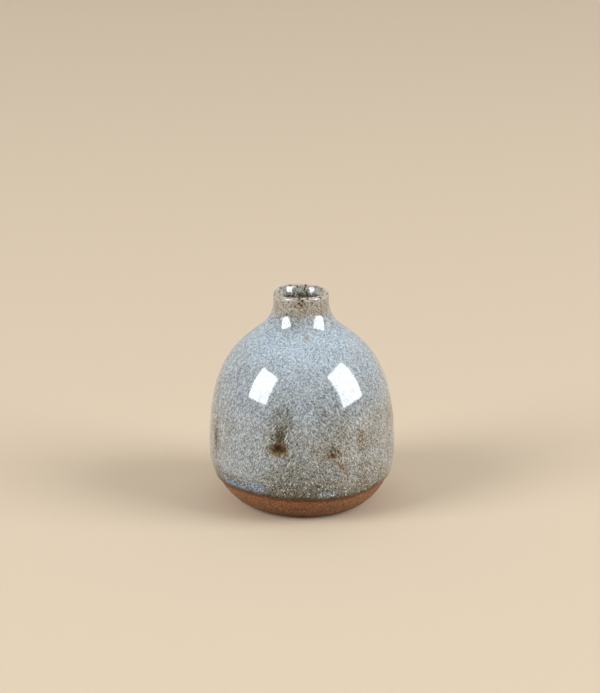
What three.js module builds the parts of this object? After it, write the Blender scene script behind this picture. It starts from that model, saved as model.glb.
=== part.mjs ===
// Hand-thrown stoneware bud vase: a full-bellied bottle drawn in to a narrow straight neck.
// The clay is one thrown and turned body. A glossy glaze coats it outside, from a rolled edge
// above the bare foot, over the lip and down to the throat. A poured lining glazes the inside.
// Millimetres, +Z up, origin at the centre of the foot, on the surface that the vase stands on.
import * as THREE from 'three';

// Outside of the thrown clay, from the foot to the lip
const FOOT_RADIUS = 24.6;
const FOOT_LIFT_DEGREES = 26.7; // slope of the wall where it leaves the foot
const BELLY_RADIUS = 37.5;
const BELLY_HEIGHT = 22.1;
const SHOULDER_RADIUS = 17.5; // where the round shoulder turns into the hollow sweep of the neck
const SHOULDER_HEIGHT = 71.9;
const SHOULDER_SLOPE_DEGREES = 38.7;
const NECK_RADIUS = 10.75; // waist of the neck
const NECK_HEIGHT = 84;
const LIP_RADIUS = 10.85;
const LIP_HEIGHT = 87.6; // crest of the clay lip, under its glaze
const LIP_ROUND = 0.8; // rounding of the lip's outer edge

// Fullness of the curve at each of those places, as a share of the span to the next one
const FOOT_FULLNESS = 0.76;
const BELLY_FULLNESS_BELOW = 0.34;
const BELLY_FULLNESS_ABOVE = 0.69;
const SHOULDER_FULLNESS = 0.68;
const SWEEP_FULLNESS = 0.67;
const NECK_FULLNESS = 0.46;
const LIP_FULLNESS = 0.2;

// Mouth: the inside slopes from the crest of the lip down to the throat, its narrowest place
const THROAT_RADIUS = 8;
const THROAT_DEPTH = 8.1;
const MOUTH_FULLNESS = 0.55;

// Thickness of the clay
const BELLY_WALL = 4;
const SHOULDER_WALL = 3.4;
const FLOOR_THICKNESS = 5;
const FLOOR_RADIUS = 18; // flat part of the inside floor, before it curves up into the wall
const FLOOR_FULLNESS = 0.65;

// Foot ring, turned on the underside
const FOOT_RING_WIDTH = 5;
const FOOT_RECESS = 1.8;

// Glaze
const GLAZE_LINE_HEIGHT = 11.5; // lower edge of the outer coat
const COAT_THICKNESS = 0.5;
const COAT_AT_LIP = 0.35; // the melt runs thin over the lip
const ROLL_THICKNESS = 0.65; // the melt gathers in a roll along its lower edge
const ROLL_REACH = 2.6; // how far up the wall that roll fades out
const LINING_THICKNESS = 0.5;
const BOND_GAP = 0.05; // between the glaze and the clay, and between the two glazes

// Facets
const SEGMENTS_ROUND = 40;
const STEPS = {
  foot: 4, roll: 3, fade: 2, underBelly: 4, shoulder: 10, sweep: 6, lip: 2, edge: 3, mouth: 5, floor: 6,
};

// A place on the profile and the direction in which the profile runs through it
function station(radius, height, degrees) {
  const angle = THREE.MathUtils.degToRad(degrees);
  return {
    place: new THREE.Vector2(radius, height),
    along: new THREE.Vector2(Math.cos(angle), Math.sin(angle)),
  };
}

function bend(from, to, fromPull, toPull) {
  return new THREE.CubicBezierCurve(
    from.place,
    from.place.clone().addScaledVector(from.along, fromPull),
    to.place.clone().addScaledVector(to.along, -toPull),
    to.place,
  );
}

const UP = 90;
const DOWN = -90;
const INWARD = 180;

// The profile runs up the outside, over the lip and down the inside, with the clay on its left
const foot = station(FOOT_RADIUS, 0, FOOT_LIFT_DEGREES);
const belly = station(BELLY_RADIUS, BELLY_HEIGHT, UP);
const shoulder = station(SHOULDER_RADIUS, SHOULDER_HEIGHT, INWARD - SHOULDER_SLOPE_DEGREES);
const neck = station(NECK_RADIUS, NECK_HEIGHT, UP);
const lipHeight = LIP_HEIGHT - LIP_ROUND;
const lip = station(LIP_RADIUS, lipHeight, UP);

const bellySpan = SHOULDER_HEIGHT - BELLY_HEIGHT;
const shoulderSpan = BELLY_RADIUS - SHOULDER_RADIUS;
const sweepSpan = SHOULDER_RADIUS - NECK_RADIUS;
const neckSpan = NECK_HEIGHT - SHOULDER_HEIGHT;
const lipSpan = lipHeight - NECK_HEIGHT;

const footCurve = bend(
  foot, belly, FOOT_FULLNESS * (BELLY_RADIUS - FOOT_RADIUS), BELLY_FULLNESS_BELOW * BELLY_HEIGHT,
);
const shoulderCurve = bend(
  belly, shoulder, BELLY_FULLNESS_ABOVE * bellySpan, SHOULDER_FULLNESS * shoulderSpan,
);
const sweepCurve = bend(shoulder, neck, SWEEP_FULLNESS * sweepSpan, NECK_FULLNESS * neckSpan);
const lipCurve = bend(neck, lip, LIP_FULLNESS * lipSpan, LIP_FULLNESS * lipSpan);
const edgeCurve = new THREE.EllipseCurve(
  LIP_RADIUS - LIP_ROUND, lipHeight, LIP_ROUND, LIP_ROUND, 0, Math.PI / 2, false, 0,
);

// The inside falls from the crest to the throat, then follows the outside at the wall's thickness
const floorHeight = FOOT_RECESS + FLOOR_THICKNESS;
const wallNormal = new THREE.Vector2(shoulder.along.y, -shoulder.along.x);
const shoulderInside = shoulder.place.clone().addScaledVector(wallNormal, -SHOULDER_WALL);
const crest = station(LIP_RADIUS - LIP_ROUND, LIP_HEIGHT, INWARD);
const throat = station(THROAT_RADIUS, LIP_HEIGHT - THROAT_DEPTH, DOWN);
const insideShoulder = station(shoulderInside.x, shoulderInside.y, -SHOULDER_SLOPE_DEGREES);
const insideBelly = station(BELLY_RADIUS - BELLY_WALL, BELLY_HEIGHT, DOWN);
const floorEdge = station(FLOOR_RADIUS, floorHeight, INWARD);

const mouthCurve = bend(
  crest, throat, MOUTH_FULLNESS * (crest.place.x - throat.place.x), MOUTH_FULLNESS * THROAT_DEPTH,
);
const insideSweepCurve = bend(
  throat, insideShoulder,
  NECK_FULLNESS * (throat.place.y - shoulderInside.y),
  SWEEP_FULLNESS * (shoulderInside.x - throat.place.x),
);
const insideShoulderCurve = bend(
  insideShoulder, insideBelly, SHOULDER_FULLNESS * shoulderSpan, BELLY_FULLNESS_ABOVE * bellySpan,
);
const insideFloorCurve = bend(
  insideBelly, floorEdge,
  FLOOR_FULLNESS * (BELLY_HEIGHT - floorHeight),
  FLOOR_FULLNESS * (BELLY_RADIUS - BELLY_WALL - FLOOR_RADIUS),
);

// Distance along a rising curve at which it reaches a height
function distanceToHeight(curve, height) {
  let low = 0;
  let high = 1;
  while (high - low > 1e-9) {
    const middle = (low + high) / 2;
    if (curve.getPointAt(middle).y < height) low = middle;
    else high = middle;
  }
  return low * curve.getLength();
}

function evenDistances(from, to, steps) {
  return Array.from({ length: steps }, (_, index) => from + ((to - from) * (index + 1)) / steps);
}

// Points on the clay's surface, each with the direction straight out of the clay
function trace(curve, distances) {
  return distances.map((distance) => {
    const share = Math.min(distance / curve.getLength(), 1);
    const along = curve.getTangentAt(share);
    return { point: curve.getPointAt(share), out: new THREE.Vector2(along.y, -along.x) };
  });
}

function traceWhole(curve, steps) {
  return trace(curve, evenDistances(0, curve.getLength(), steps));
}

const glazeLine = distanceToHeight(footCurve, GLAZE_LINE_HEIGHT);
const rollAngles = evenDistances(0, Math.PI / 2, STEPS.roll);
const rollDistances = rollAngles.map((angle) => ROLL_THICKNESS * (1 - Math.cos(angle)));
const fadeDistances = evenDistances(ROLL_THICKNESS, ROLL_REACH, STEPS.fade);

const bareFoot = trace(footCurve, [0, ...evenDistances(0, glazeLine, STEPS.foot)]);
const underRoll = trace(
  footCurve, [...rollDistances, ...fadeDistances].map((distance) => glazeLine + distance),
);
const underBelly = trace(
  footCurve, evenDistances(glazeLine + ROLL_REACH, footCurve.getLength(), STEPS.underBelly),
);
const underCoat = [
  ...underBelly,
  ...traceWhole(shoulderCurve, STEPS.shoulder),
  ...traceWhole(sweepCurve, STEPS.sweep),
];
const underLip = traceWhole(lipCurve, STEPS.lip);
const overEdge = traceWhole(edgeCurve, STEPS.edge);
const insideMouth = traceWhole(mouthCurve, STEPS.mouth);
const underLining = [
  ...traceWhole(insideSweepCurve, STEPS.sweep),
  ...traceWhole(insideShoulderCurve, STEPS.shoulder),
  ...traceWhole(insideFloorCurve, STEPS.floor),
];

// Points at a height above the clay's surface, one height for all or one for each
function lifted(surface, heights) {
  return surface.map(({ point, out }, index) => {
    const height = Array.isArray(heights) ? heights[index] : heights;
    return point.clone().addScaledVector(out, height);
  });
}

function turned(name, outline, material) {
  const geometry = new THREE.LatheGeometry(outline, SEGMENTS_ROUND);
  geometry.rotateX(Math.PI / 2);
  const mesh = new THREE.Mesh(geometry, material);
  mesh.name = name;
  return mesh;
}

// Clay body: thrown wall and floor, rounded lip, and a foot ring turned out of the underside
const ringInside = FOOT_RADIUS - FOOT_RING_WIDTH;
const claySurface = [
  ...bareFoot, ...underRoll, ...underCoat, ...underLip, ...overEdge, ...insideMouth, ...underLining,
];
const clayOutline = [
  new THREE.Vector2(0, FOOT_RECESS),
  new THREE.Vector2(ringInside - FOOT_RECESS, FOOT_RECESS),
  new THREE.Vector2(ringInside, 0),
  ...lifted(claySurface, 0),
  new THREE.Vector2(0, floorHeight),
];
const clayBody = turned(
  'clay_body', clayOutline,
  new THREE.MeshStandardMaterial({ color: 0x704730, roughness: 0.75, metalness: 0 }),
);

// Outer glaze: a quarter-round roll at the lower edge, an even coat, thin over the lip, full in the mouth
const coated = [...underRoll, ...underCoat, ...underLip, ...overEdge, ...insideMouth];
const coatHeights = [
  ...rollAngles.map((angle) => ROLL_THICKNESS * Math.sin(angle)),
  ...fadeDistances.map((distance) => {
    const faded = (distance - ROLL_THICKNESS) / (ROLL_REACH - ROLL_THICKNESS);
    return THREE.MathUtils.lerp(ROLL_THICKNESS, COAT_THICKNESS, faded);
  }),
  ...underCoat.map(() => COAT_THICKNESS),
  ...underLip.map((_, index) => (
    THREE.MathUtils.lerp(COAT_THICKNESS, COAT_AT_LIP, (index + 1) / STEPS.lip)
  )),
  ...overEdge.map(() => COAT_AT_LIP),
  ...insideMouth.map((_, index) => (
    THREE.MathUtils.lerp(COAT_AT_LIP, LINING_THICKNESS, (index + 1) / STEPS.mouth)
  )),
];
const coatEdge = lifted(bareFoot.slice(-1), BOND_GAP);
const outerOutline = [
  ...coatEdge,
  ...lifted(coated, coatHeights.map((height) => BOND_GAP + height)),
  ...lifted(coated, BOND_GAP).reverse(),
  ...coatEdge,
];
const outerGlaze = turned(
  'outer_glaze', outerOutline,
  new THREE.MeshStandardMaterial({ color: 0x8f9593, roughness: 0.15, metalness: 0 }),
);

// Inner glaze: the poured lining, from the edge of the outer coat at the throat down over the floor
const liningStart = insideMouth.slice(-1).map(({ point, out }) => (
  { point: new THREE.Vector2(point.x, point.y - BOND_GAP), out }
));
const lined = [...liningStart, ...underLining];
const innerOutline = [
  new THREE.Vector2(0, floorHeight + BOND_GAP),
  ...lifted(lined, BOND_GAP).reverse(),
  ...lifted(lined, BOND_GAP + LINING_THICKNESS),
  new THREE.Vector2(0, floorHeight + BOND_GAP + LINING_THICKNESS),
];
const innerGlaze = turned(
  'inner_glaze', innerOutline,
  new THREE.MeshStandardMaterial({ color: 0x7d817d, roughness: 0.2, metalness: 0 }),
);

const budVase = new THREE.Group();
budVase.add(clayBody, innerGlaze, outerGlaze);

export default budVase;
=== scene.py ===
# Hand-thrown stoneware bud vase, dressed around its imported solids. Metres, +Z up, photographed side to -Y.
import math

import bpy
import numpy as np
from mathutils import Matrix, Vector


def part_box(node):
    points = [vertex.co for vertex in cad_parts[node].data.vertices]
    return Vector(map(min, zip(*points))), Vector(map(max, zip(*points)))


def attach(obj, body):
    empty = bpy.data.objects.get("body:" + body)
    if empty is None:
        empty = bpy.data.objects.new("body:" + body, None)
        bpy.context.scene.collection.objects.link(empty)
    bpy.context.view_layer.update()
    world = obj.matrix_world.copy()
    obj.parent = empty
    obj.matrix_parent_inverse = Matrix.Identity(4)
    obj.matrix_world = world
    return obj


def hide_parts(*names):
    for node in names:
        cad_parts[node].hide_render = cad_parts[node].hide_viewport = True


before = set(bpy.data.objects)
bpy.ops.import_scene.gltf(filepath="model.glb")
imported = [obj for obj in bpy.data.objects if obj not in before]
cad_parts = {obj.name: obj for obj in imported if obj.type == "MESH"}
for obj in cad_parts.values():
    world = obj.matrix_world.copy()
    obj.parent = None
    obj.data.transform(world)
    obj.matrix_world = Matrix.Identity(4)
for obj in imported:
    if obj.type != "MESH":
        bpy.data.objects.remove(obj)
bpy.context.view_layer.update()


# Clay body
# The pot itself: red-brown stoneware, thrown on a wheel in one piece, its foot turned when leather-hard.
# It carries both glazes. Only the bare foot and the underside stay in sight.
_, clay_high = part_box("clay_body")
coat_low, coat_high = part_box("outer_glaze")
BELLY_RADIUS = clay_high.x
BELLY_HEIGHT = 0.0221
FOOT_RADIUS = 0.0246
FOOT_LIFT = math.radians(26.7)
SHOULDER_RADIUS = 0.0175
SHOULDER_HEIGHT = 0.0719
SHOULDER_SLOPE = math.radians(38.7)
NECK_RADIUS = 0.01075
NECK_HEIGHT = 0.084
LIP_RADIUS = 0.01085
LIP_HEIGHT = clay_high.z
LIP_ROUND = 0.0008
THROAT_RADIUS = 0.008
THROAT_DEPTH = 0.0081
BELLY_WALL = 0.004
SHOULDER_WALL = 0.0034
FLOOR_HEIGHT = 0.0068
FLOOR_RADIUS = 0.018
FOOT_RING_WIDTH = 0.005
FOOT_RECESS = 0.0018

# Fullness of the curve at each of those places, as a share of the span to the next one
FOOT_FULLNESS = 0.76
BELLY_FULLNESS_BELOW = 0.34
BELLY_FULLNESS_ABOVE = 0.69
SHOULDER_FULLNESS = 0.68
SWEEP_FULLNESS = 0.67
NECK_FULLNESS = 0.46
LIP_FULLNESS = 0.2
MOUTH_FULLNESS = 0.55
FLOOR_FULLNESS = 0.65

CURVE_POINTS = 400
SEGMENTS = 360
UP = math.radians(90)
MM_PER_METRE = 1000
angles = np.linspace(-math.pi, math.pi, SEGMENTS, endpoint=False)[None, :]


def smooth(low, high, value):
    """0 below low, 1 above high, with an even curve between them."""
    share = np.clip((value - low) / (high - low), 0, 1)
    return share * share * (3 - 2 * share)


def bend(start, end, start_pull, end_pull):
    """Points of a curve between two places, each given as radius, height and the curve's direction there."""
    start_place = np.array(start[:2])
    end_place = np.array(end[:2])
    start_along = np.array([math.cos(start[2]), math.sin(start[2])])
    end_along = np.array([math.cos(end[2]), math.sin(end[2])])
    start_corner = start_place + start_along * start_pull
    end_corner = end_place - end_along * end_pull
    corners = [start_place, start_corner, end_corner, end_place]
    share = np.linspace(0, 1, CURVE_POINTS)[1:, None]
    weights = [(1 - share) ** 3, 3 * share * (1 - share) ** 2, 3 * share**2 * (1 - share), share**3]
    return sum(weight * corner for weight, corner in zip(weights, corners))


edge_height = LIP_HEIGHT - LIP_ROUND
crest_radius = LIP_RADIUS - LIP_ROUND
wall_in = SHOULDER_WALL * math.sin(SHOULDER_SLOPE)
wall_down = SHOULDER_WALL * math.cos(SHOULDER_SLOPE)

foot = (FOOT_RADIUS, 0, FOOT_LIFT)
belly = (BELLY_RADIUS, BELLY_HEIGHT, UP)
shoulder = (SHOULDER_RADIUS, SHOULDER_HEIGHT, math.pi - SHOULDER_SLOPE)
neck = (NECK_RADIUS, NECK_HEIGHT, UP)
lip = (LIP_RADIUS, edge_height, UP)
crest = (crest_radius, LIP_HEIGHT, math.pi)
throat = (THROAT_RADIUS, LIP_HEIGHT - THROAT_DEPTH, -UP)
inside_shoulder = (SHOULDER_RADIUS - wall_in, SHOULDER_HEIGHT - wall_down, -SHOULDER_SLOPE)
inside_belly = (BELLY_RADIUS - BELLY_WALL, BELLY_HEIGHT, -UP)
floor_edge = (FLOOR_RADIUS, FLOOR_HEIGHT, math.pi)

foot_pull = FOOT_FULLNESS * (BELLY_RADIUS - FOOT_RADIUS)
belly_pull = BELLY_FULLNESS_ABOVE * (SHOULDER_HEIGHT - BELLY_HEIGHT)
shoulder_pull = SHOULDER_FULLNESS * (BELLY_RADIUS - SHOULDER_RADIUS)
sweep_pull = SWEEP_FULLNESS * (SHOULDER_RADIUS - NECK_RADIUS)
neck_pull = NECK_FULLNESS * (NECK_HEIGHT - SHOULDER_HEIGHT)
lip_pull = LIP_FULLNESS * (edge_height - NECK_HEIGHT)
mouth_pull = MOUTH_FULLNESS * (crest_radius - THROAT_RADIUS)
inside_sweep_pull = SWEEP_FULLNESS * (inside_shoulder[0] - THROAT_RADIUS)
inside_neck_pull = NECK_FULLNESS * (throat[1] - inside_shoulder[1])
floor_pull = FLOOR_FULLNESS * (BELLY_RADIUS - BELLY_WALL - FLOOR_RADIUS)
floor_rise = FLOOR_FULLNESS * (BELLY_HEIGHT - FLOOR_HEIGHT)

foot_curve = bend(foot, belly, foot_pull, BELLY_FULLNESS_BELOW * BELLY_HEIGHT)
turn = np.linspace(0, UP, CURVE_POINTS)[1:]
edge_radius = crest_radius + LIP_ROUND * np.cos(turn)
outside_curves = [
    foot_curve,
    bend(belly, shoulder, belly_pull, shoulder_pull),
    bend(shoulder, neck, sweep_pull, neck_pull),
    bend(neck, lip, lip_pull, lip_pull),
    np.stack([edge_radius, edge_height + LIP_ROUND * np.sin(turn)], axis=1),
    bend(crest, throat, mouth_pull, MOUTH_FULLNESS * THROAT_DEPTH),
]
inside_curves = [
    bend(throat, inside_shoulder, inside_neck_pull, inside_sweep_pull),
    bend(inside_shoulder, inside_belly, shoulder_pull, belly_pull),
    bend(inside_belly, floor_edge, floor_rise, floor_pull),
]

# The clay's surface as one path, up the outside, over the lip and down the inside.
# A place on it is given by its distance along the path from the foot
path = np.vstack([[foot[:2]], *outside_curves, *inside_curves])
travelled = np.concatenate([[0], np.cumsum(np.hypot(*np.diff(path, axis=0).T))])
along = np.stack([np.gradient(path[:, 0], travelled), np.gradient(path[:, 1], travelled)], axis=1)
along /= np.linalg.norm(along, axis=1)[:, None]
curve_ends = np.cumsum([len(curve) for curve in outside_curves])
NECK_AT, LIP_AT, CREST_AT, THROAT_AT = travelled[curve_ends[2:]]
FLOOR_AT = travelled[-1]


def off_clay(distance, lift):
    """Radius and height of a point that lies lift above the clay, that distance along it from the foot."""
    radius = np.interp(distance, travelled, path[:, 0]) + lift * np.interp(distance, travelled, along[:, 1])
    height = np.interp(distance, travelled, path[:, 1]) - lift * np.interp(distance, travelled, along[:, 0])
    return radius, height


# Rings that the path needs up to each of its points, by its length and by how far it has bent
bends = np.concatenate([[0], np.cumsum(np.hypot(*np.diff(along, axis=0).T))])
ring_need = travelled / FLOOR_AT + bends / bends[-1]


def ring_distances(start, end, count):
    """That many distances along the clay from start to end, closer together where it bends."""
    ends = np.interp([start, end], travelled, ring_need)
    return np.interp(np.linspace(*ends, count), ring_need, travelled)[:, None]


# How far the pot came off the wheel out of true. A wave is a size, a count round the pot and a turn
FOOT_SLIP = 0.0008
FOOT_SLIP_REACH = 0.010
MOUTH_LEAN = 0.0004
OVAL = 0.0035
OVAL_TURN = 0.7
OVAL_FULL_HEIGHT = 0.03
LIP_WAVES = [(0.00016, 2, 0.4), (0.00010, 3, 2.0)]


def waves(angle, sizes):
    """The height of several waves together at an angle round the pot."""
    return sum(size * np.sin(count * angle + turned_by) for size, count, turned_by in sizes)


def thrown_place(radius, angle, height):
    """Where a point of the turned form lies on this pot, which came off the wheel a little out of true."""
    foot_slip = FOOT_SLIP * np.exp(-height / FOOT_SLIP_REACH)
    mouth_lean = MOUTH_LEAN * height / LIP_HEIGHT
    oval = 1 + OVAL * np.cos(2 * angle + OVAL_TURN) * smooth(0, OVAL_FULL_HEIGHT, height)
    x = radius * oval * np.sin(angle) + foot_slip - mouth_lean
    y = -radius * oval * np.cos(angle)
    z = height + waves(angle, LIP_WAVES) * smooth(NECK_HEIGHT, LIP_HEIGHT, height)
    return x, y, z


def turned_piece(name, radius, height, on_axis):
    """A mesh of rings round the axis, closed by a point on the axis at both ends, or onto its first ring."""
    radius, height, round_angles = np.broadcast_arrays(radius, height, angles)
    rings = len(radius)
    points = np.stack(thrown_place(radius, round_angles, height), axis=-1).reshape(-1, 3)
    corner = np.arange(rings * SEGMENTS).reshape(rings, SEGMENTS)
    lower = corner[:-1] if on_axis else corner
    upper = np.roll(corner, -1, axis=0)[: len(lower)]
    quads = np.stack([lower, np.roll(lower, -1, axis=1), np.roll(upper, -1, axis=1), upper], axis=-1)
    faces = quads.reshape(-1, 4).tolist()
    if on_axis:
        first = len(points)
        last = first + 1
        caps = points.reshape(rings, SEGMENTS, 3)[[0, -1]].mean(axis=1)
        points = np.vstack([points, caps])
        faces += [[first, b, a] for a, b in zip(corner[0].tolist(), np.roll(corner[0], -1).tolist())]
        faces += [[last, a, b] for a, b in zip(corner[-1].tolist(), np.roll(corner[-1], -1).tolist())]
    mesh = bpy.data.meshes.new(name)
    mesh.from_pydata(points.tolist(), [], faces)
    mesh.shade_smooth()
    piece = bpy.data.objects.new(name, mesh)
    bpy.context.scene.collection.objects.link(piece)
    return piece


def all_round(*parts):
    """Stretches of rings one after the other, each ring with a number for every angle."""
    return np.vstack([np.broadcast_to(part, (len(part), SEGMENTS)) for part in parts])


def note(piece, name, values):
    """Keeps one number for each ring and angle on the mesh, for its material to read."""
    kept = np.zeros(len(piece.data.vertices), np.float32)
    flat = all_round(values).ravel()
    kept[: len(flat)] = flat
    kept[len(flat):] = flat[-1]
    piece.data.attributes.new(name, "FLOAT", "POINT").data.foreach_set("value", kept)


# The line, in distance from the foot, at which the dipped glaze stopped: it slants and wanders in waves
GLAZE_LINE_HEIGHT = coat_low.z
GLAZE_LINE_RISE = 0.00025
GLAZE_LINE_WAVES = [
    (-0.00025, 2, UP),
    (-0.0005, 3, 0),
    (0.00010, 7, 0.4),
    (0.00008, 13, 2.2),
    (0.00005, 29, 0),
]
foot_rows = slice(0, len(foot_curve) + 1)
glaze_line_height = GLAZE_LINE_HEIGHT + GLAZE_LINE_RISE + waves(angles, GLAZE_LINE_WAVES)
glaze_line = np.interp(glaze_line_height, path[foot_rows, 1], travelled[foot_rows])

# The underside and the bare foot, with the marks of the turning tool, and the wall under the glazes
TURNING_DEPTH = 0.00005
TURNING_PITCH = 0.0011
BROAD_MARK_PITCH = 2.7 * TURNING_PITCH
BROAD_MARK_SHARE = 0.6
BROAD_MARK_TURN = 1
MARK_FADE = 0.002
MARK_FADE_AT_GLAZE = 0.0015
BARE_UNDER_GLAZE = 0.001
UNDERSIDE_START = 0.0006
UNDERSIDE_RINGS = 70
FOOT_RINGS = 70
COVERED_RINGS = 120
ring_inside = FOOT_RADIUS - FOOT_RING_WIDTH
under_radius = np.linspace(UNDERSIDE_START, FOOT_RADIUS, UNDERSIDE_RINGS, endpoint=False)[:, None]
under_height = FOOT_RECESS * (1 - smooth(ring_inside - FOOT_RECESS, ring_inside, under_radius))
under_mark = np.sin(2 * math.pi * under_radius / TURNING_PITCH + angles)
under_fade = 1 - smooth(ring_inside - 2 * MARK_FADE, ring_inside - MARK_FADE, under_radius)
under_height = under_height + TURNING_DEPTH * under_mark * under_fade
bare_to = glaze_line.max() + BARE_UNDER_GLAZE
foot_distance = np.linspace(0, bare_to, FOOT_RINGS)[:, None]
fine_mark = np.sin(2 * math.pi * foot_distance / TURNING_PITCH - angles)
broad_mark = np.sin(2 * math.pi * foot_distance / BROAD_MARK_PITCH - angles + BROAD_MARK_TURN)
foot_mark = fine_mark + BROAD_MARK_SHARE * broad_mark
mark_end = bare_to - MARK_FADE_AT_GLAZE
foot_fade = 1 - smooth(mark_end - MARK_FADE_AT_GLAZE, mark_end, foot_distance)
foot_fade = foot_fade * smooth(0, MARK_FADE, foot_distance)
foot_radius, foot_height = off_clay(foot_distance, TURNING_DEPTH * foot_mark * foot_fade)
covered_distance = ring_distances(bare_to, FLOOR_AT, COVERED_RINGS + 1)[1:]
covered_radius, covered_height = off_clay(covered_distance, 0)
clay_radius = all_round(under_radius, foot_radius, covered_radius)
clay_height = all_round(under_height, foot_height, covered_height)
clay_body = turned_piece("thrown_clay_body", clay_radius, clay_height, on_axis=True)
clay_distance = all_round(np.zeros((UNDERSIDE_RINGS, 1)), foot_distance, covered_distance)
note(clay_body, "below_glaze", (glaze_line - clay_distance) * MM_PER_METRE)


class Channel:
    """One output of a material's nodes. Arithmetic on channels adds the Math nodes that it needs."""

    # Range of the noise, and where the edge of a speck or a spot begins and ends, as shares of its size
    NOISE_SPREAD = 4
    SPECK_CORE = 0.35
    SPECK_RIM = 0.6
    SPOT_CORE = 0.8
    SPOT_RIM = 1.3

    def __init__(self, socket):
        self.socket = socket

    def node(self, kind, settings, inputs, output=0):
        """Adds a node to the same material: its settings first, then the values or links of its sockets."""
        tree = self.socket.id_data
        made = tree.nodes.new(kind)
        for name, value in settings.items():
            if name == "stops":
                while len(made.color_ramp.elements) < len(value):
                    made.color_ramp.elements.new(1)
                for stop, (position, colour) in zip(made.color_ramp.elements, value):
                    stop.position = position
                    stop.color = (*colour, 1)
            else:
                setattr(made, name, value)
        for key, value in inputs.items():
            if isinstance(value, Channel):
                tree.links.new(value.socket, made.inputs[key])
            else:
                made.inputs[key].default_value = value
        return Channel(made.outputs[output])

    def output(self, name):
        """Another output of the same node."""
        return Channel(self.socket.node.outputs[name])

    def math(self, operation, first, second):
        """One Math node on two channels or numbers."""
        return self.node("ShaderNodeMath", {"operation": operation}, {0: first, 1: second})

    def __add__(self, other):
        return self.math("ADD", self, other)

    def __sub__(self, other):
        return self.math("SUBTRACT", self, other)

    def __mul__(self, other):
        return self.math("MULTIPLY", self, other)

    def __radd__(self, other):
        return self.math("ADD", other, self)

    def __rsub__(self, other):
        return self.math("SUBTRACT", other, self)

    def __rmul__(self, other):
        return self.math("MULTIPLY", other, self)

    def step(self, low, high):
        """0 below low, 1 above high, with an even curve between them."""
        inputs = {"Value": self, "From Min": low, "From Max": high}
        return self.node("ShaderNodeMapRange", {"interpolation_type": "SMOOTHSTEP"}, inputs)

    def ramp(self, stops):
        """The colour that the stops, each a position and a colour, give at this channel's value."""
        return self.node("ShaderNodeValToRGB", {"stops": stops}, {0: self})

    def between(self, first, second, blend="MIX"):
        """A colour from first, where this channel is 0, to second, where it is 1."""
        inputs = {0: self, 6: first, 7: second}
        return self.node("ShaderNodeMix", {"data_type": "RGBA", "blend_type": blend}, inputs, output=2)

    def stretched(self, factors):
        """This place with its three coordinates multiplied by factors."""
        return self.node("ShaderNodeVectorMath", {"operation": "MULTIPLY"}, {0: self, 1: factors})

    def drawn_out(self, direction, share):
        """This place with its length along a direction cut to a share, which draws noise out along it."""
        dot = {"operation": "DOT_PRODUCT"}
        length = self.node("ShaderNodeVectorMath", dot, {0: self, 1: direction}, output="Value")
        scale = {0: direction, "Scale": length * (share - 1)}
        shift = self.node("ShaderNodeVectorMath", {"operation": "SCALE"}, scale)
        return self.node("ShaderNodeVectorMath", {"operation": "ADD"}, {0: self, 1: shift})

    def noise(self, size, detail=2.0, roughness=0.5):
        """Soft noise about this place, with features of that size in millimetres, from about -1 to 1."""
        shape = {"Scale": 1 / size, "Detail": detail, "Roughness": roughness}
        noise = self.node("ShaderNodeTexNoise", {}, {"Vector": self, **shape})
        return noise * self.NOISE_SPREAD - self.NOISE_SPREAD / 2

    def specks(self, size, share, spread):
        """Round specks, of a size in millimetres, in a share of the cells of a spread. 1 inside a speck."""
        cells = self.node("ShaderNodeTexVoronoi", {}, {"Vector": self, "Scale": 1 / spread})
        chance = cells.node("ShaderNodeSeparateColor", {}, {0: cells.output("Color")})
        inside = 1 - cells.step(size / spread * self.SPECK_CORE, size / spread * self.SPECK_RIM)
        return inside * chance.math("LESS_THAN", chance, share)

    def dashes(self, width):
        """Short strokes about that wide in millimetres, each as pale as chance has it, from 0 to 1."""
        cells = self.node("ShaderNodeTexVoronoi", {}, {"Vector": self, "Scale": 1 / width})
        return cells.node("ShaderNodeSeparateColor", {}, {0: cells.output("Color")})

    def near(self, spot, reach):
        """1 at a spot in millimetres, fading to 0 about its reach."""
        distance = {"operation": "DISTANCE"}
        apart = self.node("ShaderNodeVectorMath", distance, {0: self, 1: spot}, output="Value")
        return 1 - apart.step(self.SPOT_CORE * reach, self.SPOT_RIM * reach)

    def bump(self, strength, distance):
        """A surface direction for a relief of this height, as deep as distance where the height is 1."""
        inputs = {"Height": self, "Strength": strength, "Distance": distance}
        return self.node("ShaderNodeBump", {}, inputs)


def srgb(red, green, blue):
    """A colour from its 0 to 255 screen values."""
    shares = [value / 255 for value in (red, green, blue)]
    return [s / 12.92 if s <= 0.04045 else ((s + 0.055) / 1.055) ** 2.4 for s in shares]


def opaque(colour):
    """A colour as a socket takes it, with nothing showing through."""
    return (*colour, 1)


def new_finish(piece, name):
    """A material on the piece. Gives its shader and the place on the surface, in millimetres."""
    material = bpy.data.materials.new(name)
    material.use_nodes = True
    piece.data.materials.append(material)
    shader = material.node_tree.nodes["Principled BSDF"]
    coordinates = Channel(material.node_tree.nodes.new("ShaderNodeTexCoord").outputs["Object"])
    return shader, coordinates.stretched((MM_PER_METRE, MM_PER_METRE, MM_PER_METRE))


def kept_number(place, name):
    """A number that was noted on the mesh, or 0 where none was."""
    return place.node("ShaderNodeAttribute", {"attribute_name": name}, {}, output="Fac")


def connect(shader, socket, channel):
    """Leads a channel into a socket of the shader."""
    shader.id_data.links.new(channel.socket, shader.inputs[socket])


CLAY_BROWN = srgb(166, 107, 58)
CLAY_DARK = srgb(78, 48, 24)
CLAY_FLASH = srgb(178, 94, 40)
CLAY_IRON_SPECK = srgb(44, 34, 32)
CLAY_PALE_GRIT = srgb(196, 148, 108)

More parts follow.
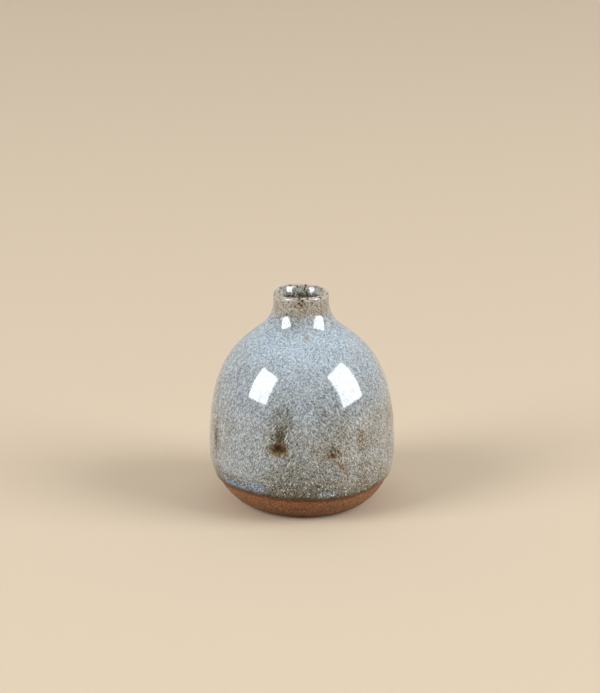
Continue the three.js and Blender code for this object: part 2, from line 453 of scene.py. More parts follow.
# Sizes in millimetres and stretches of what shows in the clay, and reaches below the glaze line
PATCH_SIZE = 6
TURNED_LINE_SIZE = 0.5
TURNED_LINE_DRAW = (0.08, 0.08, 1)
GRAIN_SIZE = 0.6
FLASH_REACH = (-0.4, 3.6)
ROLL_SHADE_REACH = (0.8, 2.2)
FOOT_PAINTED_SHADE_REACH = (4, 11)
GRIT_STRETCH = (1, 1, 1.2)

# How much each of them counts in the clay's colour, gloss and relief
CLAY_TONE = 0.48
PATCHES_IN_TONE = 0.25
LINES_IN_TONE = 0.25
GRAIN_IN_TONE = 2.2
FOOT_PAINTED_SHADE = 0.35
FLASH_TONE = 0.6
FLASH_FRAYING = 1.6
GRAIN_IN_FLASH = 0.4
ROLL_SHADE = 0.85
ROLL_SHADE_FRAYING = 0.3
CLAY_IRON_STRENGTH = 0.8
CLAY_GRIT_STRENGTH = 0.6
CLAY_ROUGHNESS = 0.66
GRAIN_IN_ROUGHNESS = 0.06
CLAY_SHEEN = 0.3
CLAY_SHEEN_ROUGHNESS = 0.4
LINES_IN_RELIEF = 0.6
IRON_IN_RELIEF = 1.5
CLAY_RELIEF_STRENGTH = 0.5
CLAY_RELIEF = 0.0002

shader, place = new_finish(clay_body, "bare_red_stoneware")
below = kept_number(place, "below_glaze")
patches = place.noise(PATCH_SIZE, detail=3)
turned_lines = place.stretched(TURNED_LINE_DRAW).noise(TURNED_LINE_SIZE, detail=3, roughness=0.7)
grain = place.noise(GRAIN_SIZE, detail=2, roughness=0.7)
tone = CLAY_TONE + PATCHES_IN_TONE * patches + LINES_IN_TONE * turned_lines + GRAIN_IN_TONE * grain
# Painted shade: the bare clay is darker further below the glaze line, towards the floor
tone = tone - FOOT_PAINTED_SHADE * below.step(*FOOT_PAINTED_SHADE_REACH)
colour = tone.between(opaque(CLAY_DARK), opaque(CLAY_BROWN))
flash = 1 - (below + FLASH_FRAYING * patches).step(*FLASH_REACH)
flash = flash * (FLASH_TONE + GRAIN_IN_FLASH * grain)
colour = flash.between(colour, opaque(CLAY_FLASH))
under_roll = 1 - (below + ROLL_SHADE_FRAYING * grain).step(*ROLL_SHADE_REACH)
colour = (ROLL_SHADE * under_roll).between(colour, opaque(CLAY_DARK))
iron = place.specks(size=0.6, share=0.4, spread=1.2)
colour = (CLAY_IRON_STRENGTH * iron).between(colour, opaque(CLAY_IRON_SPECK))
grit = place.stretched(GRIT_STRETCH).specks(size=0.6, share=0.3, spread=1.1)
colour = (CLAY_GRIT_STRENGTH * grit).between(colour, opaque(CLAY_PALE_GRIT))
connect(shader, "Base Color", colour)
connect(shader, "Roughness", CLAY_ROUGHNESS + GRAIN_IN_ROUGHNESS * grain)
shader.inputs["Sheen Weight"].default_value = CLAY_SHEEN
shader.inputs["Sheen Roughness"].default_value = CLAY_SHEEN_ROUGHNESS
shader.inputs["Sheen Tint"].default_value = opaque(CLAY_PALE_GRIT)
relief = grain + LINES_IN_RELIEF * turned_lines - IRON_IN_RELIEF * iron
connect(shader, "Normal", relief.bump(CLAY_RELIEF_STRENGTH, CLAY_RELIEF))

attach(clay_body, "root")
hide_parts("clay_body")


# Inner glaze
# The lining that makes the pot hold water: the same speckled grey glaze, poured in, swirled and poured out.
# It covers the floor and the wall inside, up to the throat.
BOND_GAP = 0.00005
LINING_THICKNESS = 0.0005
LINING_RINGS = 150
LINING_BACK_RINGS = 40
LINING_MELT = 0.18
LINING_POOL = 0.05
RIDGE_DEPTH = 0.0001
RIDGE_PITCH = 0.006
RIDGE_FADE_AT_THROAT = 0.01
RIDGE_FADE_AT_FLOOR = 0.02
lined_from = THROAT_AT + BOND_GAP
back_distance = ring_distances(FLOOR_AT, lined_from, LINING_BACK_RINGS)
back_radius, back_height = off_clay(back_distance, BOND_GAP)
face_distance = np.linspace(lined_from, FLOOR_AT, LINING_RINGS)[:, None]
ridge = RIDGE_DEPTH * np.sin(2 * math.pi * face_distance / RIDGE_PITCH + angles)
ridge = ridge * smooth(0, RIDGE_FADE_AT_THROAT, face_distance - lined_from)
ridge = ridge * smooth(0, RIDGE_FADE_AT_FLOOR, FLOOR_AT - face_distance)
face_radius, face_height = off_clay(face_distance, BOND_GAP + LINING_THICKNESS + ridge)
lining_radius = all_round(back_radius, face_radius)
lining_height = all_round(back_height, face_height)
inner_glaze = turned_piece("poured_inner_glaze", lining_radius, lining_height, on_axis=True)
note(inner_glaze, "melt", np.full((len(lining_radius), 1), LINING_MELT))
note(inner_glaze, "pool", np.full((len(lining_radius), 1), LINING_POOL))

# The glaze from where it lies thinnest, over iron-bearing clay, to where it lies thickest:
# the colour of the clear melt, and of the pale strokes that part from it as it cools
MELT_COLOURS = [
    (0.00, srgb(30, 12, 1)),
    (0.12, srgb(27, 20, 6)),
    (0.22, srgb(27, 25, 16)),
    (0.32, srgb(50, 49, 41)),
    (0.42, srgb(86, 87, 80)),
    (0.52, srgb(106, 111, 110)),
    (0.65, srgb(120, 127, 131)),
    (0.80, srgb(130, 140, 147)),
    (0.95, srgb(134, 153, 168)),
]
STROKE_COLOURS = [
    (0.00, srgb(54, 26, 3)),
    (0.12, srgb(98, 80, 36)),
    (0.22, srgb(132, 129, 112)),
    (0.32, srgb(160, 160, 149)),
    (0.42, srgb(175, 177, 172)),
    (0.52, srgb(190, 197, 201)),
    (0.65, srgb(197, 206, 213)),
    (0.80, srgb(207, 219, 226)),
    (0.95, srgb(211, 225, 235)),
]
IRON_SPECK = srgb(40, 31, 22)
PORE_GREY = srgb(58, 58, 54)
CRYSTAL_WHITE = srgb(214, 221, 226)
TAN_TINT = (1.13, 0.94, 0.77)
RUST_TINT = (0.74, 0.39, 0.02)
POOL_DEEP = srgb(36, 62, 104)
POOL_PALE = srgb(186, 206, 228)

# The strokes run down and outwards, to the left on one side of the pot and to the right on the other,
# and change over within a few millimetres of the middle. A draw is a stroke's width as a share of its length
STROKES_LEFT = (0.5, 0, 0.866)
STROKES_RIGHT = (-0.5, 0, 0.866)
STROKES_CHANGE = (-3, 3)
STROKE_DRAW = 0.36
STROKE_WIDTH = 0.22
STROKE_GRAIN_SIZE = 0.45
NECK_DOT_WIDTH = 0.34
CRYSTAL_DRAW = 0.24
STREAK_RADIUS = 36
STREAK_DRAW = 0.1

# Where the melt counts as thin, holds crystals or seals its pores, and where tan and rust count as full
THIN_MELT = (0.3, 0.55)
CRYSTAL_MELT = (0.13, 0.24)
SEALED_MELT = (0.6, 0.9)
FULL_TAN = (0.65, 0.95)
FULL_RUST = (0.6, 0.95)

# How much each thing counts in the thickness, the strokes, the colour, the gloss and the relief
CLOUDS_IN_DEPTH = 0.12
STREAKS_IN_DEPTH = 0.09
MOTTLE_IN_DEPTH = 0.05
STROKE_TONE = 0.45
STROKE_TONE_AT_NECK = 0.07
MEAN_DASH = 0.5
STROKE_CONTRAST = 1.9
STROKE_CONTRAST_LOST_AT_NECK = 0.65
STROKE_GRAIN = 0.06
WARMTH_WANDER = 0.16
POOL_STRENGTH = 0.8
POOL_WANDER = 0.5
IRON_SHARE = 0.02
IRON_SHARE_IN_THIN_MELT = 0.16
IRON_STRENGTH = 0.85
CRYSTAL_SHARE = 0.4
CRYSTAL_SHARE_IN_THIN_MELT = 0.1
CRYSTAL_STRENGTH = 0.68
CRYSTAL_STRENGTH_IN_THIN_MELT = 0.27
CRYSTALS_LOST_AT_NECK = 0.8
PORE_STRENGTH = 0.45
PORES_SEALED = 0.7
GLAZE_ROUGHNESS = 0.07
CLOUDS_IN_ROUGHNESS = 0.03
RUST_BRONZE = 0.5
PIT_DEPTH = 4
PIT_STRETCH = (1.1, 0.9, 1)
GLAZE_RELIEF_STRENGTH = 0.3
GLAZE_RELIEF = 0.000015
GLAZE_IOR = 1.52


def along_strokes(place, draw, mark):
    """What mark makes of the place when that is drawn out along the strokes."""
    left = mark(place.drawn_out(STROKES_LEFT, draw))
    right = mark(place.drawn_out(STROKES_RIGHT, draw))
    side = place.node("ShaderNodeSeparateXYZ", {}, {0: place}, output="X").step(*STROKES_CHANGE)
    return left + side * (right - left)


def glaze_finish(piece, name, iron_dots):
    """The mottled glossy glaze. The mesh keeps how thick the melt lies and where it is tan, rusty or pooled.
    Each iron dot is a spot on the surface and its reach, in millimetres."""
    shader, place = new_finish(piece, name)
    melt = kept_number(place, "melt")
    tan = kept_number(place, "tan")
    rust = kept_number(place, "rust")
    thin = 1 - melt.step(*THIN_MELT)
    full_tan = tan.step(*FULL_TAN)

    # Thickness of the melt, with clouds, streaks that run down the wall, and mottling
    clouds = place.noise(size=9, detail=3, roughness=0.55)
    outwards = place.stretched((1, 1, 0))
    facing = outwards.node("ShaderNodeVectorMath", {"operation": "NORMALIZE"}, {0: outwards})
    inputs = {0: facing, 1: (STREAK_RADIUS, STREAK_RADIUS, 0), 2: place.stretched((0, 0, STREAK_DRAW))}
    wall = facing.node("ShaderNodeVectorMath", {"operation": "MULTIPLY_ADD"}, inputs)
    streaks = wall.noise(size=3.5, detail=2)
    mottle = place.noise(size=2.2, detail=1)
    depth = melt * (1 + CLOUDS_IN_DEPTH * clouds + STREAKS_IN_DEPTH * streaks + MOTTLE_IN_DEPTH * mottle)

    # Pale strokes in the clear melt, which are round dots on the tan neck
    dash = along_strokes(place, STROKE_DRAW, lambda drawn: drawn.dashes(STROKE_WIDTH))
    dash = dash + full_tan * (place.dashes(NECK_DOT_WIDTH) - dash)
    contrast = STROKE_CONTRAST - STROKE_CONTRAST_LOST_AT_NECK * full_tan
    stroke = STROKE_TONE + STROKE_TONE_AT_NECK * full_tan + contrast * (dash - MEAN_DASH)
    stroke = stroke + STROKE_GRAIN * place.noise(STROKE_GRAIN_SIZE, detail=0)
    colour = stroke.between(depth.ramp(MELT_COLOURS), depth.ramp(STROKE_COLOURS))

    # Rust, warm tan and blue pools
    colour = rust.between(colour, opaque(RUST_TINT), blend="MULTIPLY")
    warmth = tan + WARMTH_WANDER * place.noise(size=5, detail=2)
    colour = warmth.between(colour, opaque(TAN_TINT), blend="MULTIPLY")
    pool = kept_number(place, "pool") * (POOL_STRENGTH + POOL_WANDER * place.noise(size=1.2, detail=1))
    colour = pool.between(colour, stroke.between(opaque(POOL_DEEP), opaque(POOL_PALE)))

    # Iron specks, white crystals, pores and the iron dots
    iron = place.specks(size=0.6, share=IRON_SHARE + IRON_SHARE_IN_THIN_MELT * thin, spread=1.3)
    colour = (IRON_STRENGTH * iron).between(colour, opaque(IRON_SPECK))
    crystal_share = CRYSTAL_SHARE + CRYSTAL_SHARE_IN_THIN_MELT * thin
    crystals = along_strokes(
        place, CRYSTAL_DRAW, lambda drawn: drawn.specks(size=0.44, share=crystal_share, spread=0.75)
    )
    crystals = crystals * melt.step(*CRYSTAL_MELT) * (1 - CRYSTALS_LOST_AT_NECK * full_tan) * (1 - rust)
    crystals = (CRYSTAL_STRENGTH + CRYSTAL_STRENGTH_IN_THIN_MELT * thin) * crystals
    colour = crystals.between(colour, opaque(CRYSTAL_WHITE))
    pores = place.specks(size=0.45, share=0.3, spread=1.1) * (1 - PORES_SEALED * melt.step(*SEALED_MELT))
    colour = (PORE_STRENGTH * pores).between(colour, opaque(PORE_GREY))
    for spot, reach in iron_dots:
        colour = (IRON_STRENGTH * place.near(spot, reach)).between(colour, opaque(IRON_SPECK))
    connect(shader, "Base Color", colour)

    # Gloss, with a bronze sheen on the full rust, and a faint relief with pits
    connect(shader, "Roughness", GLAZE_ROUGHNESS + CLOUDS_IN_ROUGHNESS * clouds.step(-1, 1))
    connect(shader, "Metallic", RUST_BRONZE * rust.step(*FULL_RUST))
    pits = place.stretched(PIT_STRETCH).specks(size=0.3, share=0.05, spread=1.4)
    relief = place.noise(size=2.6, detail=1) - PIT_DEPTH * pits
    connect(shader, "Normal", relief.bump(GLAZE_RELIEF_STRENGTH, GLAZE_RELIEF))
    shader.inputs["IOR"].default_value = GLAZE_IOR


glaze_finish(inner_glaze, "poured_speckled_glaze", [])
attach(inner_glaze, "root")
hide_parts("inner_glaze")


# Outer glaze
# The dipped coat, glossy and mottled blue-grey. It gathered in a roll along its lower edge, ran thin over
# the lip and laps into the mouth. Fingers that held the pot in the dip left rusty marks round the belly.
COAT_THICKNESS = coat_high.x - clay_high.x - BOND_GAP
COAT_AT_LIP = coat_high.z - clay_high.z - BOND_GAP
ROLL_THICKNESS = 0.00065
ROLL_REACH = 0.0026
FINGER_THINNING = 0.0002
ROLL_RINGS = 12
FADE_RINGS = 10
COAT_RINGS = 166
EDGE_RINGS = 10
MOUTH_RINGS = 24
BOND_RINGS = 54

# Places where the melt was rubbed or ran thin: degrees from the front, height, half width and half height
# in millimetres, sideways lean for each millimetre up, and how much of the melt is gone
FINGER_MARKS = [
    (-14.9, 34.1, 1.3, 1.6, 0.1, 0.95),
    (-14.2, 33.9, 2.6, 2.1, 0.0, 0.72),
    (-13.3, 37.2, 2.3, 4.5, 0.1, 0.63),
    (-12.5, 40.8, 1.4, 2.0, 0.1, 0.5),
    (18.8, 30.7, 0.8, 0.9, 0.0, 0.78),
    (19.2, 31.2, 2.4, 2.2, 0.0, 0.24),
    (25.2, 25.0, 1.3, 3.0, -0.4, 0.26),
    (38.9, 35.4, 1.8, 3.4, 0.0, 0.28),
    (38.2, 31.6, 1.6, 1.6, 0.0, 0.22),
    (-66.6, 31.5, 1.6, 5.6, 0.0, 0.5),
    (-66.2, 30.2, 1.0, 2.6, 0.0, 0.65),
    (82.0, 37.5, 1.8, 3.2, 0.0, 0.5),
    (168.0, 33.0, 1.4, 1.9, 0.0, 0.95),
    (167.0, 32.4, 2.8, 2.2, 0.0, 0.55),
    (169.0, 38.0, 2.1, 4.0, -0.1, 0.5),
]

# Rust that the iron of the clay bled into the melt round those marks, in the same way
RUST_MARKS = [
    (-14.0, 33.4, 3.0, 2.2, 0.0, 0.97),
    (-17.4, 32.2, 1.1, 1.6, 0.0, 0.8),
    (-10.4, 32.6, 1.1, 2.0, 0.0, 0.8),
    (-13.6, 31.6, 2.2, 1.6, 0.0, 0.45),
    (19.3, 30.1, 1.6, 1.3, 0.0, 0.95),
    (21.2, 29.8, 3.8, 2.2, 0.0, 0.32),
    (25.2, 25.0, 1.9, 3.8, -0.4, 0.34),
    (39.0, 34.6, 2.0, 4.2, 0.0, 0.28),
    (-66.4, 31.0, 1.4, 4.4, 0.0, 0.3),
    (82.0, 37.0, 1.6, 3.0, 0.0, 0.3),
    (7.4, 72.8, 1.2, 0.5, 0.0, 0.7),
    (167.4, 31.8, 3.2, 2.0, 0.0, 0.85),
    (170.0, 29.8, 1.4, 1.8, 0.0, 0.6),
]

# Iron dots that melted through the glaze: degrees from the front, height and reach in millimetres
IRON_DOTS = [
    (-12.3, 40.1, 0.40),
    (-13.7, 39.3, 0.45),
    (-14.8, 38.6, 0.45),
    (-18.1, 38.9, 0.40),
    (-18.5, 37.3, 0.40),
    (18.3, 32.2, 0.40),
    (20.6, 32.2, 0.35),
    (22.8, 31.7, 0.40),
    (18.8, 33.6, 0.40),
    (8.9, 39.1, 0.35),
    (37.2, 23.1, 0.35),
    (21.0, 22.6, 0.35),
    (-2.9, 35.8, 0.35),
    (-14.9, 23.9, 0.40),
    (-21.2, 30.7, 0.35),
    (-30.7, 81.0, 0.45),
]

# Broad places where the whole dip lies thinner, given as the finger marks are. The one at the middle of the
# neck is painted shade
THIN_AND_SHADED_PATCHES = [
    (-2.0, 15.0, 14.0, 8.5, 0.0, 0.39),
    (2.0, 29.0, 13.0, 10.0, 0.0, 0.24),
    (-13.5, 44.0, 5.0, 9.0, 0.0, 0.25),
    (2.0, 37.0, 10.0, 6.0, 0.0, 0.17),
    (20.0, 39.0, 7.0, 11.0, 0.0, 0.23),
    (68.0, 37.0, 16.0, 13.0, 0.0, 0.16),
    (48.0, 20.0, 12.0, 7.0, 0.0, 0.19),
    (-70.0, 39.0, 13.0, 11.0, 0.0, 0.14),
    (-44.0, 13.0, 22.0, 4.2, 0.0, 0.52),
    (-19.0, 77.8, 11.0, 4.6, 0.0, 0.2),
    (21.0, 73.0, 11.0, 4.0, 0.0, 0.12),
    (172.0, 20.0, 20.0, 12.0, 0.0, 0.22),
    # Painted shade: darker at the middle of the neck, where less light falls than on its right side
    (5.0, 84.0, 12.0, 4.0, 0.0, 0.06),
    (42.0, 81.5, 24.0, 2.0, 0.0, 0.1),
]

# Places where the glaze is warmer and browner, in the same way
WARM_PATCHES = [
    (62.0, 35.0, 20.0, 9.5, 0.0, 0.55),
    (25.5, 30.0, 8.5, 7.0, 0.0, 0.62),
    (52.0, 20.0, 18.0, 8.0, 0.0, 0.5),
    (-72.0, 32.0, 12.0, 10.0, 0.0, 0.4),
    (150.0, 30.0, 22.0, 14.0, 0.0, 0.5),
]

# Dark blotches round the lip, with the distance from the crest down into the mouth in place of the height
LIP_BLOTCHES = [
    (-4.4, -0.3, 0.35, 0.5, 0.3, 0.97),
    (2.5, -1.05, 0.4, 0.4, 0.0, 1.0),
    (-4.8, -1.8, 0.45, 0.5, 0.3, 0.9),
    (-12.6, -3.3, 0.4, 0.35, 0.0, 0.85),
    (0.6, -2.7, 0.4, 0.4, 0.0, 0.95),
    (-3.0, -1.6, 2.0, 1.6, 0.0, 0.2),
    (22.8, -2.0, 0.4, 0.35, 0.0, 0.75),
    (13.9, -0.45, 0.4, 0.3, 0.0, 0.8),
    (43.3, -0.75, 0.5, 0.4, 0.0, 0.8),
    (53.6, -2.0, 0.4, 0.35, 0.0, 0.6),
    (-26.4, -1.6, 0.4, 0.35, 0.0, 0.7),
    (-40.0, -3.3, 0.4, 0.4, 0.0, 0.55),
    (-78.0, -0.8, 0.8, 0.4, 0.0, 0.75),
    (76.0, -0.5, 0.7, 0.4, 0.0, 0.75),
    (58.0, -0.1, 0.6, 0.25, 0.0, 0.7),
    (-55.0, -0.1, 0.8, 0.25, 0.0, 0.65),
    (169.0, 0.2, 0.45, 0.7, -0.2, 0.95),
    (171.0, 1.9, 0.4, 0.7, 0.2, 0.95),
    (165.0, 3.0, 0.5, 0.6, 0.0, 0.8),
    (162.0, 4.2, 0.5, 0.4, 0.0, 0.9),
    (170.0, 2.4, 1.6, 1.5, 0.0, 0.22),
    (-170.0, 0.9, 0.4, 0.4, 0.0, 0.8),
    (-150.0, 0.4, 0.5, 0.4, 0.0, 0.75),
    (140.0, 0.2, 0.6, 0.35, 0.0, 0.75),
    (118.0, 0.4, 0.6, 0.35, 0.0, 0.7),
    (-120.0, 0.3, 0.8, 0.35, 0.0, 0.7),
]

# Blue pools where the melt gathered, with the distance above the lower edge in place of the height
POOLS = [
    (-47.0, 2.8, 7.5, 1.5, 0.0, 0.9),
    (-30.0, 3.6, 4.2, 2.2, 0.0, 0.95),
    (16.5, 2.6, 3.6, 1.6, 0.0, 0.62),
    (18.5, 15.0, 4.5, 4.0, 0.0, 0.16),
    (78.0, 2.2, 3.4, 1.4, 0.0, 0.6),
    (128.0, 2.4, 4.2, 1.6, 0.0, 0.7),
    (-158.0, 2.0, 3.6, 1.4, 0.0, 0.6),
    (-104.0, 2.4, 4.6, 1.7, 0.0, 0.8),
]

# How sharply a mark of these lists ends
MARK_SHARPNESS = 1.5


def spots(marks, radius, level):
    """How strongly the marks of one list show: the last number of a mark at its middle, fading round it."""
    shown = np.zeros(level.shape)
    for degrees, middle, half_width, half_height, lean, strength in marks:
        up = level * MM_PER_METRE - middle
        turned_by = np.angle(np.exp(1j * (angles - math.radians(degrees))))
        across = radius * MM_PER_METRE * turned_by - lean * up
        far = (across / half_width) ** 2 + (up / half_height) ** 2
        shown = np.maximum(shown, strength * np.exp(-(far**MARK_SHARPNESS) / 2))
    return shown


def even_rings(start, end, count):
    """That many even steps from start to end, one for each ring, without the start itself."""
    return np.linspace(start, end, count + 1)[1:, None]


# The coat's face, from the roll over the outside and the lip into the mouth, and its back along the clay
roll_share = even_rings(0, 1, ROLL_RINGS)
roll_distance = ROLL_THICKNESS * (1 - np.cos(roll_share * UP)) + glaze_line
roll_lift = ROLL_THICKNESS * np.sin(roll_share * UP)
fade_share = even_rings(0, 1, FADE_RINGS)
fade_distance = ROLL_THICKNESS + (ROLL_REACH - ROLL_THICKNESS) * fade_share + glaze_line
fade_lift = ROLL_THICKNESS + (COAT_THICKNESS - ROLL_THICKNESS) * smooth(0, 1, fade_share)
coat_share = even_rings(0, 1, COAT_RINGS)
coat_distance = glaze_line + ROLL_REACH + (LIP_AT - glaze_line - ROLL_REACH) * coat_share
coat_lift = COAT_THICKNESS + (COAT_AT_LIP - COAT_THICKNESS) * smooth(NECK_AT, LIP_AT, coat_distance)
edge_distance = even_rings(LIP_AT, CREST_AT, EDGE_RINGS)
edge_lift = np.full((EDGE_RINGS, 1), COAT_AT_LIP)
mouth_distance = even_rings(CREST_AT, THROAT_AT, MOUTH_RINGS)
mouth_lift = COAT_AT_LIP + (LINING_THICKNESS - COAT_AT_LIP) * smooth(CREST_AT, THROAT_AT, mouth_distance)
mean_line = glaze_line.mean()
bond_share = (ring_distances(THROAT_AT, mean_line, BOND_RINGS) - mean_line) / (THROAT_AT - mean_line)
bond_distance = glaze_line + (THROAT_AT - glaze_line) * bond_share

outside_distance = all_round(roll_distance, fade_distance, coat_distance, edge_distance, mouth_distance)
outside_lift = all_round(roll_lift, fade_lift, coat_lift, edge_lift, mouth_lift)
_, outside_height = off_clay(outside_distance, 0)
above_line = outside_distance - glaze_line
past_crest = outside_distance - CREST_AT
outside = past_crest < 0
rubbed = spots(FINGER_MARKS, BELLY_RADIUS, outside_height) * outside
outside_lift = outside_lift - FINGER_THINNING * rubbed
face_radius, face_height = off_clay(outside_distance, BOND_GAP + outside_lift)
bond_radius, bond_height = off_clay(bond_distance, BOND_GAP)
coat_radius = all_round(face_radius, bond_radius)
coat_height = all_round(face_height, bond_height)
outer_glaze = turned_piece("dipped_outer_glaze", coat_radius, coat_height, on_axis=False)

# Thickness of the melt by height outside, and by depth in the mouth: thick and blue on the shoulder, thin
# and tan at the neck, pale along the crest of the lip, dark low in the mouth and above the lower edge.
# Parts of it are painted light: the neck is a little paler for the light on its right side, the pale crest
# is partly a painted highlight, and the dark low in the mouth is partly painted shade of the throat
MELT_AND_PAINTED_LIGHT_OUTSIDE = [
    (0.0110, 0.28),
    (0.0135, 0.37),
    (0.0170, 0.48),
    (0.0200, 0.53),
    (0.0300, 0.57),
    (0.0400, 0.56),
    (0.0480, 0.59),
    (0.0560, 0.64),
    (0.0620, 0.71),
    (0.0670, 0.85),
    (0.0720, 0.92),
    (0.0755, 0.80),
    (0.0785, 0.64),
    # Painted light in part: the neck's melt is a little paler for the light on its right side
    (0.0815, 0.53),
    (0.0840, 0.49),
    (0.0864, 0.52),
    # Painted highlight in part: the pale crest
    (0.0871, 0.92),
]
MELT_AND_PAINTED_LIGHT_IN_MOUTH = [
    # Painted highlight in part: the pale crest
    (0.0000, 0.92),
    (0.0008, 0.70),
    (0.0020, 0.60),
    (0.0030, 0.50),
    # Painted shade in part: darker deeper in the mouth, towards the throat
    (0.0040, 0.24),
    (0.0080, LINING_MELT),
]
EDGE_SHADE = 0.65
EDGE_SHADE_REACH = 0.0029
melt_and_painted_light_outside = np.interp(outside_height, *zip(*MELT_AND_PAINTED_LIGHT_OUTSIDE))
melt_and_painted_light_in_mouth = np.interp(past_crest, *zip(*MELT_AND_PAINTED_LIGHT_IN_MOUTH))
melt = np.where(outside, melt_and_painted_light_outside, melt_and_painted_light_in_mouth)
clear_of_edge = smooth(0, EDGE_SHADE_REACH, above_line)
thinned_and_shaded = spots(THIN_AND_SHADED_PATCHES, BELLY_RADIUS, outside_height) * outside
blotches = spots(LIP_BLOTCHES, LIP_RADIUS, past_crest)
melt = melt * (1 - thinned_and_shaded) * (1 - EDGE_SHADE * (1 - clear_of_edge)) * (1 - np.maximum(rubbed, blotches))

# Tan at the neck and the lip, which fades down the mouth
TAN_AT_NECK = 0.95
TAN_FROM = 0.0765
TAN_FULL = 0.0825
TAN_AT_LIP_REACH = 0.002
TAN_FADE_IN_MOUTH = (0.001, 0.007)
at_lip = smooth(LIP_HEIGHT - TAN_AT_LIP_REACH, LIP_HEIGHT, outside_height)
neck_tan = (TAN_AT_NECK + (1 - TAN_AT_NECK) * at_lip) * smooth(TAN_FROM, TAN_FULL, outside_height)
warm = np.maximum(spots(WARM_PATCHES, BELLY_RADIUS, outside_height), neck_tan)
tan = np.where(outside, warm, 1 - smooth(*TAN_FADE_IN_MOUTH, past_crest))

# Rust round the finger marks and in a fringe on either side of the lip's crest
CREST_RUST = 0.5
CREST_RUST_AWAY = 0.0007
CREST_RUST_REACH = 0.0003
rust = spots(RUST_MARKS, BELLY_RADIUS, outside_height) * outside
from_fringe = (np.abs(past_crest) - CREST_RUST_AWAY) / CREST_RUST_REACH
rust = np.maximum(rust, CREST_RUST * np.exp(-(from_fringe**2)))

# Pools above the lower edge, and the lining's slight blue low in the mouth
POOL_FROM_IN_MOUTH = (0.003, 0.008)
pool = spots(POOLS, BELLY_RADIUS, above_line) * clear_of_edge
pool = np.where(outside, pool, LINING_POOL * smooth(*POOL_FROM_IN_MOUTH, past_crest))
bond_note = np.zeros((BOND_RINGS, 1))
for name, values in (("melt", melt), ("tan", tan), ("rust", rust), ("pool", pool)):
    note(outer_glaze, name, all_round(values, bond_note))

lip_rows = slice(0, curve_ends[3])
iron_dots = []
for degrees, height, reach in IRON_DOTS:
    dot_distance = np.interp(height / MM_PER_METRE, path[lip_rows, 1], travelled[lip_rows])
    dot_radius, dot_height = off_clay(dot_distance, BOND_GAP + COAT_THICKNESS)
    spot = thrown_place(dot_radius, math.radians(degrees), dot_height)
    iron_dots.append(([MM_PER_METRE * value for value in spot], reach))
glaze_finish(outer_glaze, "dipped_mottled_glaze", iron_dots)
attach(outer_glaze, "root")
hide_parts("outer_glaze")


# Studio
# A plain pale floor, two large softboxes at the front left and front right, and a surround that is pale
# behind the vase. None of it belongs to the vase.
FLOOR_HALF = 6.0
FLOOR_COLOUR = srgb(220, 199, 171)
FLOOR_ROUGHNESS = 0.9
QUAD = [(-1, -1), (1, -1), (1, 1), (-1, 1)]
floor_mesh = bpy.data.meshes.new("floor")
floor_mesh.from_pydata([(FLOOR_HALF * x, FLOOR_HALF * y, 0) for x, y in QUAD], [], [(0, 1, 2, 3)])
floor = bpy.data.objects.new("floor", floor_mesh)
bpy.context.scene.collection.objects.link(floor)
floor_shader, _ = new_finish(floor, "pale_paper")
floor_shader.inputs["Base Color"].default_value = opaque(FLOOR_COLOUR)
floor_shader.inputs["Roughness"].default_value = FLOOR_ROUGHNESS

LIGHT_DISTANCE = 3.0
LIGHT_COLOUR = (0.91, 0.955, 1.0)
GLINT_COLOUR = (0.86, 0.93, 1.0)
AIM_HEIGHT = 0.06


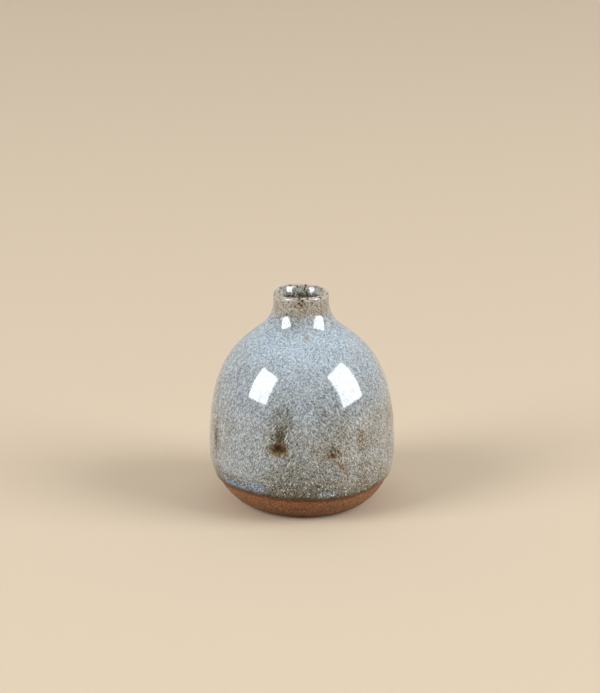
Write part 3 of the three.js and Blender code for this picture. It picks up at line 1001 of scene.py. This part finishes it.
def softbox(name, azimuth, elevation, width, height, radiance, glint):
    """A rectangular light that faces the vase from there, its sides given for each metre of distance.
    The lamp lights the scene, and a bright cloth in the same place shows in the gloss."""
    half_width = width * LIGHT_DISTANCE / 2
    half_height = height * LIGHT_DISTANCE / 2
    lamp = bpy.data.lights.new(name, "AREA")
    lamp.shape = "RECTANGLE"
    lamp.size = 2 * half_width
    lamp.size_y = 2 * half_height
    lamp.energy = radiance * math.pi * lamp.size * lamp.size_y
    lamp.color = LIGHT_COLOUR
    box = bpy.data.objects.new(name, lamp)
    box.visible_glossy = False
    cloth_mesh = bpy.data.meshes.new(name + "_cloth")
    cloth_corners = [(half_width * x, half_height * y, 0) for x, y in QUAD]
    cloth_mesh.from_pydata(cloth_corners, [], [(0, 1, 2, 3)])
    cloth = bpy.data.objects.new(name + "_cloth", cloth_mesh)
    cloth_shader, _ = new_finish(cloth, name + "_cloth")
    cloth_shader.inputs["Emission Color"].default_value = opaque(GLINT_COLOUR)
    cloth_shader.inputs["Emission Strength"].default_value = glint
    cloth.visible_diffuse = False
    cloth.visible_shadow = False
    for part in (box, cloth):
        part.location = (
            LIGHT_DISTANCE * math.cos(elevation) * math.sin(azimuth),
            -LIGHT_DISTANCE * math.cos(elevation) * math.cos(azimuth),
            AIM_HEIGHT + LIGHT_DISTANCE * math.sin(elevation),
        )
        part.rotation_euler = (UP - elevation, 0, azimuth)
        part.visible_camera = False
        bpy.context.scene.collection.objects.link(part)


softbox(
    "left_softbox",
    azimuth=math.radians(-62),
    elevation=math.radians(30.2),
    width=0.51,
    height=0.62,
    radiance=7.2,
    glint=16.6,
)
softbox(
    "right_softbox",
    azimuth=math.radians(72.5),
    elevation=math.radians(28.8),
    width=0.61,
    height=0.72,
    radiance=5.8,
    glint=15.2,
)

# The surround: dark in front, pale behind and above, as far as the gloss and the shade see it
SURROUND_FRONT = srgb(76, 76, 78)
SURROUND_BACK = srgb(206, 194, 180)
SURROUND_ABOVE = srgb(188, 191, 196)
BACKGROUND = srgb(226, 216, 204)
FRONT_TO_BACK = (-0.5, 0.6)
SIDES_TO_TOP = (0.5, 0.95)
world = bpy.data.worlds.new("surround")
world.use_nodes = True
bpy.context.scene.world = world
direction = Channel(world.node_tree.nodes.new("ShaderNodeTexCoord").outputs["Generated"])
rise = direction.node("ShaderNodeSeparateXYZ", {}, {0: direction}, output="Z")
back = rise.output("Y").step(*FRONT_TO_BACK)
sky = back.between(opaque(SURROUND_FRONT), opaque(SURROUND_BACK))
sky = rise.step(*SIDES_TO_TOP).between(sky, opaque(SURROUND_ABOVE))
seen = rise.node("ShaderNodeLightPath", {}, {}, output="Is Camera Ray")
sky = seen.between(sky, opaque(BACKGROUND))
world.node_tree.links.new(sky.socket, world.node_tree.nodes["Background"].inputs["Color"])

# Camera: a long lens at the photograph's distance, height and tilt
CAMERA_PLACE = (-0.00086, -1.0045, 0.38775)
CAMERA_TILT = math.radians(17.836)
FOCAL_PIXELS = 2600
FRAME_LONG_SIDE = 693
SENSOR = 36
camera = bpy.data.objects.new("camera", bpy.data.cameras.new("camera"))
camera.data.sensor_width = SENSOR
camera.data.lens = SENSOR * FOCAL_PIXELS / FRAME_LONG_SIDE
camera.location = CAMERA_PLACE
camera.rotation_euler = (UP - CAMERA_TILT, 0, 0)
bpy.context.scene.collection.objects.link(camera)
bpy.context.scene.camera = camera
bpy.context.scene.view_settings.view_transform = "Standard"
